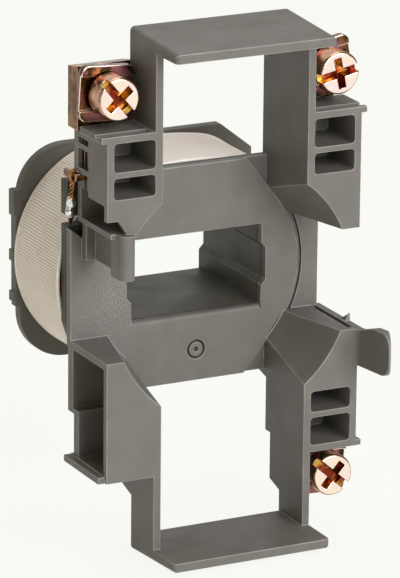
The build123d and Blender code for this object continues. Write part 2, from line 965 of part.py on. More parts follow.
with BuildPart() as start_lead_wrap:
    # Twisted end that climbs to the tag, then a turn round the tag
    with Locations((-joint_x, -wrap_forward, (solder_high + tail_end_a1) / 2)):
        Cylinder(wrap_radius, tail_end_a1 - solder_high + solder_radius)
    block(
        (-tag_x - wrap_wall, tag_wall - tag_x + wrap_wall),
        (-wrap_forward - wrap_width / 2, wrap_width / 2 - wrap_forward),
        (tail_end_a1 - wrap_wall, tail_end_a1 + tag_height + wrap_wall),
    )
    fillet(start_lead_wrap.edges().filter_by(Axis.Y), radius=wrap_wall * wrap_roundness)
    block(
        (-tag_x, tag_wall - tag_x),
        (-wrap_forward - wrap_width, wrap_width),
        (tail_end_a1, tail_end_a1 + tag_height),
        Mode.SUBTRACT,
    )

with BuildPart() as solder_a1:
    with Locations((-joint_x, -joint_forward, (solder_low + solder_high) / 2)):
        Cylinder(solder_radius, solder_high - solder_low)
    fillet(solder_a1.edges().filter_by(GeomType.CIRCLE), radius=solder_radius * solder_roundness)
    add(start_lead.part, mode=Mode.SUBTRACT)
    add(start_lead_wrap.part, mode=Mode.SUBTRACT)

with BuildPart() as finish_lead:
    with BuildSketch(forward(-strip_front - strip_wall)):
        with Locations((lead_x, lead_z)):
            Circle(lead_radius)
    extrude(amount=strip_front + strip_wall - flange_back - lead_bury)

with BuildPart() as solder_a2_lead:
    with Locations((lead_x, strip_front + strip_wall + solder_cone_height / 2, lead_z)):
        Cone(solder_cone_radius, lead_radius, solder_cone_height, rotation=(-90, 0, 0))
    add(finish_lead.part, mode=Mode.SUBTRACT)


def strip_solder(level):
    """A fillet of solder between an end of the link strip and a terminal's tail."""
    with BuildSketch() as profile:
        with BuildLine():
            Polyline(
                (-terminal_back, level * (strip_end - strip_wall)),
                (-terminal_back, level * tail_end_a2),
                (strip_wall - terminal_back, level * (strip_end - strip_wall)),
                close=True,
            )
        make_face()
    extrude(Plane.YZ.offset(strip_x) * profile.sketch, amount=strip_width / 2, both=True)


with BuildPart() as solder_strip_upper:
    strip_solder(upper)

with BuildPart() as solder_strip_lower:
    strip_solder(lower)


pieces = {
    "coil_frame": coil_frame,
    "bobbin": bobbin,
    "copper_winding": copper_winding,
    "outer_tape": outer_tape,
    "terminal_a1": terminal_a1,
    "terminal_a2_upper": terminal_a2_upper,
    "terminal_a2_lower": terminal_a2_lower,
    "washer_a1": washer_a1,
    "washer_a2_upper": washer_a2_upper,
    "washer_a2_lower": washer_a2_lower,
    "screw_a1": screw_a1,
    "screw_a2_upper": screw_a2_upper,
    "screw_a2_lower": screw_a2_lower,
    "a2_link_strip": a2_link_strip,
    "start_lead": start_lead,
    "start_lead_wrap": start_lead_wrap,
    "solder_a1": solder_a1,
    "finish_lead": finish_lead,
    "solder_a2_lead": solder_a2_lead,
    "solder_strip_upper": solder_strip_upper,
    "solder_strip_lower": solder_strip_lower,
}
os.makedirs("parts", exist_ok=True)
for name, piece in pieces.items():
    piece.part.label = name
    export_step(piece.part, f"parts/{name}.step")
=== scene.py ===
# %% [markdown]
# A contactor coil: a wound bobbin clipped behind an open moulded frame, with three screw
# terminals. The measured solids come from CAD. This notebook dresses them: it softens their
# edges, weaves the tape on the winding, twists the lead, and gives every surface its finish.
# Everything is in metres, +X to the right, +Y to the back and +Z up.

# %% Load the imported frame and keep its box
import math

import bpy
from mathutils import Matrix, Vector


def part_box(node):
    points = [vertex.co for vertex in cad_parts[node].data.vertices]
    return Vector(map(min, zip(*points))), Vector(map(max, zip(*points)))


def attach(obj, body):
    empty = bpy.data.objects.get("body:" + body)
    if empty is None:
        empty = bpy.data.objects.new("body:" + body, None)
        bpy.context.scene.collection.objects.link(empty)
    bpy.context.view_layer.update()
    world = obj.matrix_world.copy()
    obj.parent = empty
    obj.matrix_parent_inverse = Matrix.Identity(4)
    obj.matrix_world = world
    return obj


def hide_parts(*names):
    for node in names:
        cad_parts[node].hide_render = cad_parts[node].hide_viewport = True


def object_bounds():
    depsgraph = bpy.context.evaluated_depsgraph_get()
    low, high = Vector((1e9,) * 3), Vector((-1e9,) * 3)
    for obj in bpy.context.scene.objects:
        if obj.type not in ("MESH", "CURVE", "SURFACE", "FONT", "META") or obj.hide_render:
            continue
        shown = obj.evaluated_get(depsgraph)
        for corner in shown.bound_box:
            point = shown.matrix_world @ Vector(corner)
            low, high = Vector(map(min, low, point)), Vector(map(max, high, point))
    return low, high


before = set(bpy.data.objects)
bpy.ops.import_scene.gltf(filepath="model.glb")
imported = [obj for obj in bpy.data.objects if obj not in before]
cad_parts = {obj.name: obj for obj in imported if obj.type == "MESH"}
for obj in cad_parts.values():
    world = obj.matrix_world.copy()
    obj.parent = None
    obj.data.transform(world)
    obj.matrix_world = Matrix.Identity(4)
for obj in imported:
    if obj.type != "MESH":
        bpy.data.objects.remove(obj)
cad_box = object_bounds()
MM = 0.001
print("CAD nodes:", len(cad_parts))


# %% [markdown]
# The operators act on whatever is selected, so each step starts from a clean selection. These
# small helpers pick one piece, open it in edit mode, and choose faces or vertices by place.

# %% Helpers for selection and edit mode
def pick(piece):
    """Make piece the only selected and the active object."""
    bpy.ops.object.select_all(action="DESELECT")
    piece.select_set(True)
    bpy.context.view_layer.objects.active = piece


def open_edit(piece, select="SELECT"):
    """Enter edit mode on piece with everything or nothing selected."""
    pick(piece)
    bpy.ops.object.mode_set(mode="EDIT")
    bpy.ops.mesh.select_all(action=select)


def close_edit():
    """Leave edit mode."""
    bpy.ops.object.mode_set(mode="OBJECT")


def settle(piece):
    """Put the piece's place, turn and size into its mesh."""
    pick(piece)
    bpy.ops.object.transform_apply(location=True, rotation=True, scale=True)


def apply_modifiers(piece):
    """Apply every modifier on the piece, in order."""
    pick(piece)
    for modifier in list(piece.modifiers):
        bpy.ops.object.modifier_apply(modifier=modifier.name)


def finished(piece, name, material, body, nodes=()):
    """Name a finished piece, give it its material, and say what it rides on and stands for."""
    piece.name = name
    piece.data.materials.clear()
    piece.data.materials.append(material)
    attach(piece, body)
    if nodes:
        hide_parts(*nodes)
    print(name, "faces:", len(piece.data.polygons))


# %% [markdown]
# Real mouldings and pressings have no knife edges: a small round along each edge catches the
# light and shows the wall's thickness. CAD keeps its corners sharp, so each rigid node is copied,
# its loose triangles are merged into clean faces, and a Bevel modifier rounds the copy. The new
# strips get the second material, a lighter copy of the first that paints a highlight along every
# edge. Weighted Normal then keeps the broad faces flat in the light, where plain smooth shading
# would bend them.

# %% A softened copy of a CAD node
MERGE = 0.002 * MM


def softened(node, name, width, materials, segments=2, sharp=30, shape=None, holed=None):
    """A copy of a CAD node with its sharp edges rounded by width."""
    piece = bpy.data.objects.new(name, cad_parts[node].data.copy())
    bpy.context.scene.collection.objects.link(piece)
    open_edit(piece)
    bpy.ops.mesh.remove_doubles(threshold=MERGE)
    bpy.ops.mesh.dissolve_limited(angle_limit=math.radians(0.5))
    close_edit()
    if shape:
        shape(piece)
    open_edit(piece, "DESELECT")
    close_edit()
    for face in piece.data.polygons:
        face.select = holed is None or holed(face)
    pick(piece)
    bpy.ops.object.mode_set(mode="EDIT")
    bpy.ops.mesh.quads_convert_to_tris(ngon_method="BEAUTY")
    close_edit()
    piece.data.materials.clear()
    for material in materials:
        piece.data.materials.append(material)
    bevel = piece.modifiers.new("soft edges", "BEVEL")
    bevel.width = width
    bevel.segments = segments
    bevel.limit_method = "ANGLE"
    bevel.angle_limit = math.radians(sharp)
    bevel.use_clamp_overlap = False
    bevel.miter_outer = "MITER_SHARP"
    # The bevel strips take the second material, a lighter copy that paints a highlight along each edge.
    bevel.material = 1
    apply_modifiers(piece)
    low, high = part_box(node)
    for vertex in piece.data.vertices:
        for axis in range(3):
            vertex.co[axis] = min(max(vertex.co[axis], low[axis]), high[axis])
    pick(piece)
    bpy.ops.object.shade_smooth_by_angle(angle=math.radians(sharp + 5))
    flat = piece.modifiers.new("flat faces stay flat", "WEIGHTED_NORMAL")
    flat.keep_sharp = True
    apply_modifiers(piece)
    print(name, "faces:", len(piece.data.polygons))
    return piece


# %% [markdown]
# Colours are written as the eye reads them on a screen, 0 to 255, and turned into the linear
# light values that the shaders work with.

# %% Colour helper
def screen_colour(red, green, blue):
    """Linear colour with alpha from screen values of 0 to 255."""
    def linear(value):
        value = value / 255
        return value / 12.92 if value <= 0.04045 else ((value + 0.055) / 1.055) ** 2.4
    return (linear(red), linear(green), linear(blue), 1.0)


# %% [markdown]
# Two effects are used by several finishes, so each is a node group with its own inputs. The
# grain group makes the fine relief and the slight patchiness of a moulded or plated surface.
# The blotch group mixes two colours in soft clouds. Both read Object coordinates, which are
# the row's own metres, so a pattern has the same size on every piece.

# %% Node groups for grain and for clouds of colour
def socket(group, name, kind, side, default=None):
    """Add one named socket to a node group."""
    item = group.interface.new_socket(name=name, in_out=side, socket_type=kind)
    if default is not None:
        item.default_value = default


def make_grain_group():
    """Fine relief and tone: outputs Tone (0 to 1) and Height (0 to 1)."""
    group = bpy.data.node_groups.new("surface_grain", "ShaderNodeTree")
    socket(group, "Fine Scale", "NodeSocketFloat", "INPUT", 3000.0)
    socket(group, "Broad Scale", "NodeSocketFloat", "INPUT", 200.0)
    socket(group, "Tone", "NodeSocketFloat", "OUTPUT")
    socket(group, "Height", "NodeSocketFloat", "OUTPUT")
    nodes, links = group.nodes, group.links
    inside = nodes.new("NodeGroupInput")
    outside = nodes.new("NodeGroupOutput")
    place = nodes.new("ShaderNodeTexCoord")
    fine = nodes.new("ShaderNodeTexNoise")
    fine.inputs["Detail"].default_value = 3.0
    broad = nodes.new("ShaderNodeTexNoise")
    broad.inputs["Detail"].default_value = 4.0
    broad.inputs["Roughness"].default_value = 0.6
    links.new(place.outputs["Object"], fine.inputs["Vector"])
    links.new(place.outputs["Object"], broad.inputs["Vector"])
    links.new(inside.outputs["Fine Scale"], fine.inputs["Scale"])
    links.new(inside.outputs["Broad Scale"], broad.inputs["Scale"])
    links.new(broad.outputs["Fac"], outside.inputs["Tone"])
    links.new(fine.outputs["Fac"], outside.inputs["Height"])
    return group


def make_blotch_group():
    """Clouds of two colours: outputs Color and Mask."""
    group = bpy.data.node_groups.new("colour_clouds", "ShaderNodeTree")
    socket(group, "Scale", "NodeSocketFloat", "INPUT", 300.0)
    socket(group, "First", "NodeSocketColor", "INPUT", (0.5, 0.5, 0.5, 1))
    socket(group, "Second", "NodeSocketColor", "INPUT", (0.4, 0.4, 0.4, 1))
    socket(group, "Low", "NodeSocketFloat", "INPUT", 0.4)
    socket(group, "High", "NodeSocketFloat", "INPUT", 0.6)
    socket(group, "Color", "NodeSocketColor", "OUTPUT")
    socket(group, "Mask", "NodeSocketFloat", "OUTPUT")
    nodes, links = group.nodes, group.links
    inside = nodes.new("NodeGroupInput")
    outside = nodes.new("NodeGroupOutput")
    place = nodes.new("ShaderNodeTexCoord")
    cloud = nodes.new("ShaderNodeTexNoise")
    cloud.inputs["Detail"].default_value = 3.0
    stretch = nodes.new("ShaderNodeMapRange")
    stretch.interpolation_type = "SMOOTHSTEP"
    mix = nodes.new("ShaderNodeMix")
    mix.data_type = "RGBA"
    links.new(place.outputs["Object"], cloud.inputs["Vector"])
    links.new(inside.outputs["Scale"], cloud.inputs["Scale"])
    links.new(cloud.outputs["Fac"], stretch.inputs["Value"])
    links.new(inside.outputs["Low"], stretch.inputs["From Min"])
    links.new(inside.outputs["High"], stretch.inputs["From Max"])
    links.new(stretch.outputs["Result"], mix.inputs["Factor"])
    links.new(inside.outputs["First"], mix.inputs[6])
    links.new(inside.outputs["Second"], mix.inputs[7])
    links.new(mix.outputs[2], outside.inputs["Color"])
    links.new(stretch.outputs["Result"], outside.inputs["Mask"])
    return group


GRAIN = make_grain_group()
CLOUDS = make_blotch_group()


class Finish:
    """A material under construction, with short calls for the nodes that finishes share."""

    def __init__(self, name):
        self.material = bpy.data.materials.new(name)
        self.material.use_nodes = True
        self.nodes = self.material.node_tree.nodes
        self.links = self.material.node_tree.links
        self.shader = self.nodes["Principled BSDF"]

    def set(self, **values):
        """Set constants on the shader's own sockets, with _ for a space in the name."""
        for name, value in values.items():
            self.shader.inputs[name.replace("_", " ")].default_value = value

    def add(self, kind, **values):
        """Add a node and set its inputs, with _ for a space in the name."""
        node = self.nodes.new(kind)
        for name, value in values.items():
            node.inputs[name.replace("_", " ")].default_value = value
        return node

    def group(self, tree, **values):
        """Place a node group with its own values."""
        node = self.nodes.new("ShaderNodeGroup")
        node.node_tree = tree
        for name, value in values.items():
            node.inputs[name.replace("_", " ")].default_value = value
        return node

    def link(self, source, output, target, port):
        """Join an output to an input, both by name."""
        self.links.new(source.outputs[output], target.inputs[port])

    def spread(self, source, output, low, high, port, start=0.0, end=1.0):
        """Feed a shader socket from a value, remapped to run from low to high."""
        ramp = self.add("ShaderNodeMapRange", From_Min=start, From_Max=end, To_Min=low, To_Max=high)
        self.link(source, output, ramp, "Value")
        self.link(ramp, "Result", self.shader, port)

    def bump(self, source, output, strength, depth):
        """Feed the shader's normal from a height."""
        node = self.add("ShaderNodeBump", Strength=strength, Distance=depth)
        self.link(source, output, node, "Height")
        self.link(node, "Normal", self.shader, "Normal")


# %% [markdown]
# The frame and bobbin are glass-filled nylon: warm dark grey, dull, with a fine grain. Clouds of
# a lighter grey over a darker one give the flow of the moulding, and a small bump gives the
# grain. Where glass lies near the skin there is a frosted patch: a coarse noise, cut hard, and
# kept to a ball round the left wing by a spherical gradient.

# %% Moulded plastics
def moulded_plastic(name, dark, pale, patch_low, patch_high, shine=0.0):
    finish = Finish(name)
    finish.set(Specular_IOR_Level=0.4)
    clouds = finish.group(
        CLOUDS, Scale=240.0, First=dark, Second=pale, Low=patch_low, High=patch_high
    )
    grain = finish.group(GRAIN, Fine_Scale=5200.0, Broad_Scale=160.0)
    finish.spread(grain, "Tone", 0.46 - shine, 0.6 - shine, "Roughness", 0.3, 0.7)
    finish.bump(grain, "Height", 0.35, 0.05 * MM)
    finish.link(clouds, "Color", finish.shader, "Base Color")
    return finish, clouds


FROST_CENTRE = Vector((-15.0, 0.0, -3.0)) * MM
FROST_REACH = 11.0 * MM
FROST_GREY = screen_colour(142, 140, 138)


def add_frost(finish, clouds):
    """Pale specks round the left wing, over the plastic's own clouds."""
    place = finish.nodes.new("ShaderNodeTexCoord")
    ball = finish.nodes.new("ShaderNodeMapping")
    ball.inputs["Location"].default_value = -FROST_CENTRE / FROST_REACH
    ball.inputs["Scale"].default_value = (1 / FROST_REACH,) * 3
    fade = finish.nodes.new("ShaderNodeTexGradient")
    fade.gradient_type = "SPHERICAL"
    specks = finish.add("ShaderNodeTexNoise", Scale=4200.0, Detail=2.5)
    cut = finish.add("ShaderNodeMapRange", From_Min=0.46, From_Max=0.62)
    amount = finish.nodes.new("ShaderNodeMath")
    amount.operation = "MULTIPLY"
    amount.use_clamp = True
    mix = finish.nodes.new("ShaderNodeMix")
    mix.data_type = "RGBA"
    mix.inputs[7].default_value = FROST_GREY
    finish.link(place, "Object", ball, "Vector")
    finish.link(ball, "Vector", fade, "Vector")
    finish.link(place, "Object", specks, "Vector")
    finish.link(specks, "Fac", cut, "Value")
    finish.links.new(cut.outputs["Result"], amount.inputs[0])
    finish.links.new(fade.outputs["Fac"], amount.inputs[1])
    finish.link(amount, "Value", mix, "Factor")
    finish.links.new(clouds.outputs["Color"], mix.inputs[6])
    finish.links.new(mix.outputs[2], finish.shader.inputs["Base Color"])


frame_finish, frame_clouds = moulded_plastic(
    "frame_nylon", screen_colour(106, 103, 99), screen_colour(112, 109, 105), 0.35, 0.75
)
add_frost(frame_finish, frame_clouds)
FRAME_PLASTIC = frame_finish.material
# Lighter, shinier copies of the nylon for the bevel strips: a painted highlight along the edges.
FRAME_EDGE_HIGHLIGHT = moulded_plastic(
    "frame_nylon_painted_highlight", screen_colour(138, 135, 132), screen_colour(152, 149, 146), 0.4, 0.7, 0.08
)[0].material
BOBBIN_PLASTIC = moulded_plastic(
    "bobbin_nylon", screen_colour(92, 89, 81), screen_colour(101, 98, 90), 0.45, 0.8
)[0].material
BOBBIN_EDGE_HIGHLIGHT = moulded_plastic(
    "bobbin_nylon_painted_highlight", screen_colour(98, 96, 92), screen_colour(108, 106, 102), 0.4, 0.7, 0.08
)[0].material
# A darker copy of the nylon as painted shade: it stands in for the shadow in the groove beside the disc,
# in the ejector mark and on the bobbin's front flange.
SHADE_PAINTED_PLASTIC = moulded_plastic(
    "painted_shade_nylon", screen_colour(50, 50, 42), screen_colour(60, 59, 50), 0.4, 0.75
)[0].material


# %% [markdown]
# The terminals and screws are steel with a yellow chromate coat. It is thin enough to show
# interference colours, so the same part runs from brass yellow to pink and green. Two layers
# of clouds lay pink over gold and then green over both, on a metal shader.

# %% Yellow chromate steel
def chromate(name, gold, pink, green, rough, green_from=0.62):
    finish = Finish(name)
    finish.set(Metallic=1.0)
    warm = finish.group(CLOUDS, Scale=330.0, First=gold, Second=pink, Low=0.42, High=0.58)
    cool = finish.group(CLOUDS, Scale=520.0, Second=green, Low=green_from, High=green_from + 0.12)
    finish.link(warm, "Color", cool, "First")
    finish.link(cool, "Color", finish.shader, "Base Color")
    grain = finish.group(GRAIN, Fine_Scale=2600.0, Broad_Scale=700.0)
    finish.spread(grain, "Tone", rough - 0.08, rough + 0.1, "Roughness", 0.3, 0.7)
    finish.bump(grain, "Height", 0.2, 0.02 * MM)
    return finish.material


SCREW_CHROMATE = chromate(
    "screw_chromate",
    screen_colour(208, 172, 134), screen_colour(196, 148, 132), screen_colour(128, 116, 66), 0.26,
)
# A near-white copy of the chromate, a painted highlight on the washers' and heads' bevelled rims and on
# each head's front face.
HIGHLIGHT_CHROMATE = chromate(
    "chromate_painted_highlight",
    screen_colour(255, 236, 216), screen_colour(255, 230, 226), screen_colour(240, 236, 196), 0.2,
)
RECESS_CHROMATE = chromate(
    "recess_chromate",
    screen_colour(134, 48, 30), screen_colour(214, 164, 80), screen_colour(86, 82, 36), 0.2,
)
WASHER_CHROMATE = chromate(
    "washer_chromate",
    screen_colour(122, 82, 52), screen_colour(146, 94, 96), screen_colour(48, 46, 26), 0.24, 0.5,
)
PLATE_CHROMATE = chromate(
    "plate_chromate",
    screen_colour(132, 92, 54), screen_colour(98, 62, 36), screen_colour(56, 50, 28), 0.26, 0.52,
)


# %% [markdown]
# The rest are small finishes: bare and enamelled copper on the leads, bright solder, the
# tinned link strip, and the off-white tape, whose weave is real geometry; its material adds
# the yarn's fine fuzz, faint stains and painted shade in the valleys between the ribs.

# %% Copper, solder, strip and tape
def plain_metal(name, colour, tint, rough):
    finish = Finish(name)
    finish.set(Metallic=1.0)
    clouds = finish.group(CLOUDS, Scale=900.0, First=colour, Second=tint, Low=0.4, High=0.65)
    finish.link(clouds, "Color", finish.shader, "Base Color")
    grain = finish.group(GRAIN, Fine_Scale=3000.0, Broad_Scale=900.0)
    finish.spread(grain, "Tone", rough - 0.06, rough + 0.1, "Roughness", 0.3, 0.7)
    finish.bump(grain, "Height", 0.25, 0.02 * MM)
    return finish.material


COPPER = plain_metal("lead_copper", screen_colour(206, 142, 84), screen_colour(96, 58, 38), 0.3)
ENAMEL = plain_metal("enamelled_copper", screen_colour(112, 52, 38), screen_colour(78, 36, 28), 0.3)
SOLDER = plain_metal("solder_alloy", screen_colour(244, 243, 240), screen_colour(206, 205, 202), 0.3)
STRIP = plain_metal("tinned_strip", screen_colour(188, 184, 172), screen_colour(160, 156, 144), 0.3)


def woven_yarn():
    finish = Finish("woven_yarn")
    finish.set(Specular_IOR_Level=0.2, Sheen_Weight=0.25)
    clouds = finish.group(
        CLOUDS, Scale=160.0, First=screen_colour(255, 248, 243),
        Second=screen_colour(252, 240, 233), Low=0.4, High=0.7,
    )
    # Painted shade: where the lift share is low, in the valleys between the ribs, the yarn is coloured
    # darker, standing in for the shade between the yarns.
    rise = finish.nodes.new("ShaderNodeAttribute")
    rise.attribute_name = "rise"
    crown = finish.add("ShaderNodeMapRange", From_Min=0.0, From_Max=0.4)
    yarn = finish.nodes.new("ShaderNodeMix")
    yarn.data_type = "RGBA"
    yarn.inputs[6].default_value = screen_colour(214, 198, 190)
    finish.link(rise, "Fac", crown, "Value")
    finish.link(crown, "Result", yarn, "Factor")
    finish.links.new(clouds.outputs["Color"], yarn.inputs[7])
    finish.links.new(yarn.outputs[2], finish.shader.inputs["Base Color"])
    grain = finish.group(GRAIN, Fine_Scale=9000.0, Broad_Scale=500.0)
    finish.spread(grain, "Tone", 0.75, 0.95, "Roughness", 0.3, 0.7)
    finish.bump(grain, "Height", 0.5, 0.05 * MM)
    return finish.material


YARN = woven_yarn()


# %% [markdown]
# Dressing a rigid node is the same each time: the softened copy gets its materials, it stands
# for the node, and it rides on the node's body. The frame and the bobbin come first.

# %% Frame and bobbin
def dress(node, name, materials, body, width, segments=2, sharp=30, shape=None, holed=None):
    piece = softened(node, name, width, materials, segments, sharp, shape, holed)
    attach(piece, body)
    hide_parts(node)
    return piece


WING_HALF_HEIGHT = 8.4 * MM
DISC_RADIUS = 18.3 * MM
WING_STEP = 0.6 * MM
GROOVE_DEPTH = 1.1 * MM
GROOVE_WIDTH = 1.0 * MM
MARK_CENTRE = Vector((0, 0, -12.8)) * MM
MARK_REACH = 1.4 * MM
MARK_GROWTH = 1.4
MARK_SINK = 0.2 * MM


def outside_disc(inner, outer, depth):
    """A cutter for the right wing's face between two radii from the disc's centre."""
    bpy.ops.object.select_all(action="DESELECT")
    bpy.ops.mesh.primitive_cube_add(size=1, location=(17.5 * MM, depth / 2 - 0.05 * MM, 0))
    block = bpy.context.object
    block.scale = (15 * MM, depth + 0.1 * MM, 2 * WING_HALF_HEIGHT)
    settle(block)
    rounds = ((inner, "DIFFERENCE"), (outer, "INTERSECT"))
    for radius, how in rounds:
        bpy.ops.object.select_all(action="DESELECT")
        bpy.ops.mesh.primitive_cylinder_add(
            vertices=160, radius=radius, depth=4 * MM, rotation=(math.pi / 2, 0, 0)
        )
        disc = bpy.context.object
        settle(disc)
        cut = block.modifiers.new("cut", "BOOLEAN")
        cut.operation = how
        cut.object = disc
        apply_modifiers(block)
        bpy.data.objects.remove(disc)
    return block


def recess_wing(piece):
    """Set the right wing back behind the disc, with a groove beside the disc's edge."""
    groove = outside_disc(DISC_RADIUS, DISC_RADIUS + GROOVE_WIDTH, GROOVE_DEPTH)
    step = outside_disc(DISC_RADIUS, 30 * MM, WING_STEP)
    for cutter in (step, groove):
        cut = piece.modifiers.new("wing", "BOOLEAN")
        cut.operation = "DIFFERENCE"
        cut.object = cutter
        apply_modifiers(piece)
        bpy.data.objects.remove(cutter)
    open_edit(piece, "DESELECT")
    close_edit()
    for vertex in piece.data.vertices:
        near = (vertex.co - MARK_CENTRE).length < MARK_REACH
        vertex.select = near
    pick(piece)
    bpy.ops.object.mode_set(mode="EDIT")
    bpy.ops.transform.resize(value=(MARK_GROWTH, 1, MARK_GROWTH), center_override=MARK_CENTRE)
    close_edit()
    for vertex in piece.data.vertices:
        near = (vertex.co - MARK_CENTRE).length < MARK_REACH * MARK_GROWTH + MERGE
        if near and vertex.co.y > 0.05 * MM:
            vertex.co.y += MARK_SINK


moulding = dress("coil_frame", "frame_moulding", (FRAME_PLASTIC, FRAME_EDGE_HIGHLIGHT),
                 "frame", 0.13 * MM, shape=recess_wing,
                 holed=lambda face: face.normal.x < -0.99 and face.center.x < -21.5 * MM)
# Painted shade: faces in the groove beside the disc and in the sunk ejector mark get the third, darker
# material, which stands in for their shadow.
moulding.data.materials.append(SHADE_PAINTED_PLASTIC)
for face in moulding.data.polygons:
    spot = face.center
    from_disc = math.hypot(spot.x, spot.z)
    groove_painted_shade = spot.x > 0 and abs(spot.z) < WING_HALF_HEIGHT and spot.y > 0.1 * MM and (
        spot.y < GROOVE_DEPTH + 0.1 * MM and DISC_RADIUS - MERGE < from_disc < DISC_RADIUS + GROOVE_WIDTH
    )
    mark_painted_shade = (spot - MARK_CENTRE).length < 1.75 * MM and 0.1 * MM < spot.y
    if groove_painted_shade or mark_painted_shade:
        face.material_index = 2
bobbin = dress("bobbin", "bobbin_moulding", (BOBBIN_PLASTIC, BOBBIN_EDGE_HIGHLIGHT),
               "frame", 0.13 * MM)
# Painted shade: the bobbin's front flange, in front of the tape, gets the darker nylon, which stands in
# for the shadow between the tape and the frame's wing.
bobbin.data.materials.append(SHADE_PAINTED_PLASTIC)
flange_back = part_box("outer_tape")[0].y + 0.02 * MM
for face in bobbin.data.polygons:
    if face.center.y < flange_back:
        face.material_index = 2

# %% [markdown]
# Each terminal is a folded plate, each washer a stamped square, and each screw a turned
# cheese head. The screw's shank is drawn in to the core of its thread, so that a real thread can
# stand on it, the head's front face gets the near-white painted highlight, and the faces down
# in its slot and cross get a darker, redder material.

# %% Terminals, washers and screws
PLACES = ("a1", "a2_upper", "a2_lower")
HEAD_LENGTH = 3.85 * MM
RECESS_REACH = 3.3 * MM
THREAD_OUTER = 1.75 * MM
THREAD_CORE = 1.4 * MM
THREAD_PITCH = 0.6 * MM


def screw_axis(place):
    """Axis, head front and shank end of a screw, from its CAD box."""
    low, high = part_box(f"screw_{place}")
    return Vector(((low.x + high.x) / 2, 0, (low.z + high.z) / 2)), low.y, high.y


def off_axis(point, axis):
    """Distance of a point from a screw's axis."""
    return math.hypot(point.x - axis.x, point.z - axis.z)


def draw_in_shank(axis, head_back):
    """A shaping step that narrows the shank to the thread's core."""
    def shape(piece):
        open_edit(piece, "DESELECT")
        close_edit()
        for vertex in piece.data.vertices:
            on_shank = vertex.co.y > head_back - MERGE and off_axis(vertex.co, axis) < THREAD_OUTER + MERGE
            vertex.select = on_shank
        pick(piece)
        bpy.ops.object.mode_set(mode="EDIT")
        bpy.ops.transform.resize(
            value=(THREAD_CORE / THREAD_OUTER, 1, THREAD_CORE / THREAD_OUTER), center_override=axis
        )
        close_edit()
    return shape


def darken_recess(piece, axis, front):
    """Give the head's front face the near-white painted highlight, and the faces down in the slot and the
    cross their own darker material.
    """
    piece.data.materials.append(RECESS_CHROMATE)
    for face in piece.data.polygons:
        # The front face takes the second material, the near-white painted highlight.
        if face.center.y < front + 0.03 * MM:
            face.material_index = 1
        deep = front + 0.06 * MM < face.center.y < front + HEAD_LENGTH - 0.5 * MM
        if deep and off_axis(face.center, axis) < RECESS_REACH and abs(face.normal.y) < 0.95 or (
            deep and off_axis(face.center, axis) < RECESS_REACH and face.center.y > front + 1 * MM
        ):
            face.material_index = 2


for place in PLACES:
    # Each piece's second material goes on its bevel strips and is a lighter chromate that paints a
    # highlight along the edges.
    dress(f"terminal_{place}", f"terminal_plate_{place}", (PLATE_CHROMATE, SCREW_CHROMATE),
          "frame", 0.12 * MM)
    dress(f"washer_{place}", f"clamp_washer_{place}", (WASHER_CHROMATE, HIGHLIGHT_CHROMATE),
          f"clamp_{place}", 0.12 * MM)
    axis, front, end = screw_axis(place)
    head = dress(f"screw_{place}", f"cheese_head_{place}", (SCREW_CHROMATE, HIGHLIGHT_CHROMATE),
                 f"turn_{place}", 0.08 * MM,
                 shape=draw_in_shank(axis, front + HEAD_LENGTH))
    darken_recess(head, axis, front)

# %% [markdown]
# The thread is one triangular profile carried round the shank by the Screw modifier, one
# pitch to the turn. It shows where the washer hangs free below the head, and it goes in and out
# with the screw.

# %% Screw threads
PROFILE_RADIUS = 0.31 * MM
TURN_STEPS = 28


def screw_thread(place):
    axis, front, end = screw_axis(place)
    start = front + HEAD_LENGTH + PROFILE_RADIUS
    turns = int((end - start - PROFILE_RADIUS) / THREAD_PITCH)
    bpy.ops.object.select_all(action="DESELECT")
    bpy.ops.mesh.primitive_circle_add(vertices=3, radius=PROFILE_RADIUS, location=(axis.x, start, axis.z))
    piece = bpy.context.object
    open_edit(piece)
    bpy.ops.transform.rotate(value=math.pi / 2, orient_axis="Z", center_override=(axis.x, start, axis.z))
    bpy.ops.transform.translate(value=(THREAD_OUTER - 0.03 * MM - PROFILE_RADIUS, 0, 0))
    close_edit()
    sweep = piece.modifiers.new("thread", "SCREW")
    sweep.axis = "Y"
    sweep.screw_offset = THREAD_PITCH
    sweep.iterations = turns
    sweep.steps = TURN_STEPS
    sweep.render_steps = TURN_STEPS
    sweep.use_normal_calculate = True
    apply_modifiers(piece)
    open_edit(piece)
    bpy.ops.mesh.fill_holes(sides=3)
    bpy.ops.mesh.normals_make_consistent(inside=False)
    close_edit()
    settle(piece)
    finished(piece, f"thread_{place}", SCREW_CHROMATE, f"turn_{place}")


for place in PLACES:
    screw_thread(place)

# %% [markdown]
# The winding is bound with a white woven tape. Its weft yarns lie across the tape, so they show
# as fine ribs along the depth, and at both edges they turn back in a bead. A bump map would
# leave the outline smooth, so the ribs are real. A ring with four points to each rib is extruded
# row by row into a tube, Shrinkwrap lays the tube on the CAD tape, Displace lifts the ribs and
# the beads by a vertex group, and Solidify gives the tape its wall.

# %% Woven tape
RIB_PITCH = 0.44 * MM
POINTS_PER_RIB = 4
LIFT = 0.22 * MM
RIB_SHARE = (0.0, 0.28, 0.5, 0.28)
BEAD_SHARE = (0.5, 0.85, 1.0, 0.85)
OVER_UNDER = 0.07
EDGE_ROWS = (0.1, 0.26, 0.28)
ROW_STEP = 0.6 * MM
TAPE_WALL = 0.3 * MM
TAPE_INSET = 0.03 * MM
TUCK_SHARE = 0.985
TUCK_FORWARD = 0.12 * MM


